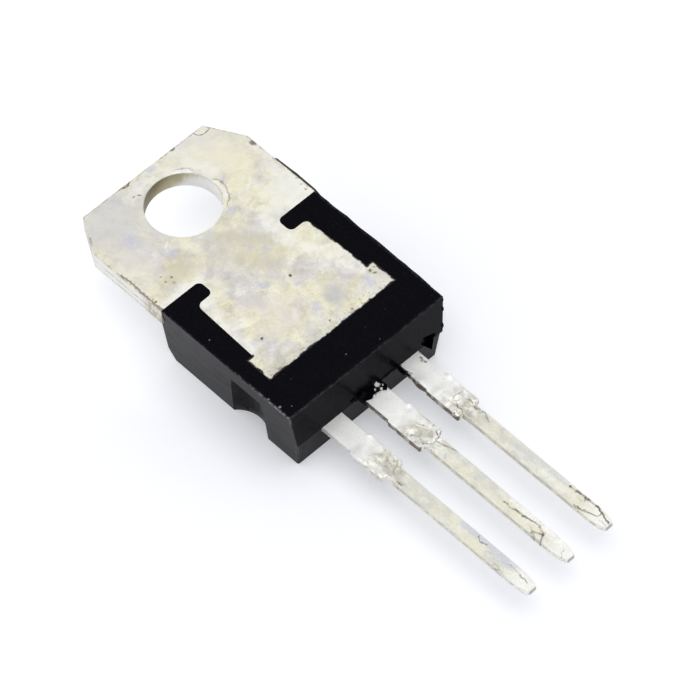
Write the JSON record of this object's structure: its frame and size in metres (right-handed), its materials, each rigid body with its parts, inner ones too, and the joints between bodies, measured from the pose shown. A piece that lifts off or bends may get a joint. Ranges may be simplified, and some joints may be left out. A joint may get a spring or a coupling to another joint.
{
  "type": "voltage regulator",
  "caption": "Flat moulded power regulator with a drilled metal heat-sink tab at one end and straight flat leads in a row at the other.",
  "frame": {"origin": "centre of the mounting hole on the back face of the heat sink", "axes": "+Z is the outward normal of the heat sink's back face, +Y runs along the part towards the free end of the tab (the leads point to -Y), +X is across, towards the input lead"},
  "size_m": [0.0103, 0.0295, 0.0044],
  "materials": {
    "tinned_copper": "satin",
    "epoxy": "matte",
    "silicon": "polished",
    "solder": "satin",
    "bond_wire": "satin"
  },
  "bodies": {
    "root": {"heat_sink_tab": "tinned_copper", "input_lead": "tinned_copper", "output_lead": "tinned_copper", "moulded_body": "epoxy", "regulator_die": "silicon", "die_solder": "solder", "input_bond_wire": "bond_wire", "ground_bond_wire": "bond_wire", "output_bond_wire": "bond_wire", "sense_bond_wire": "bond_wire"}
  },
  "joints": []
}
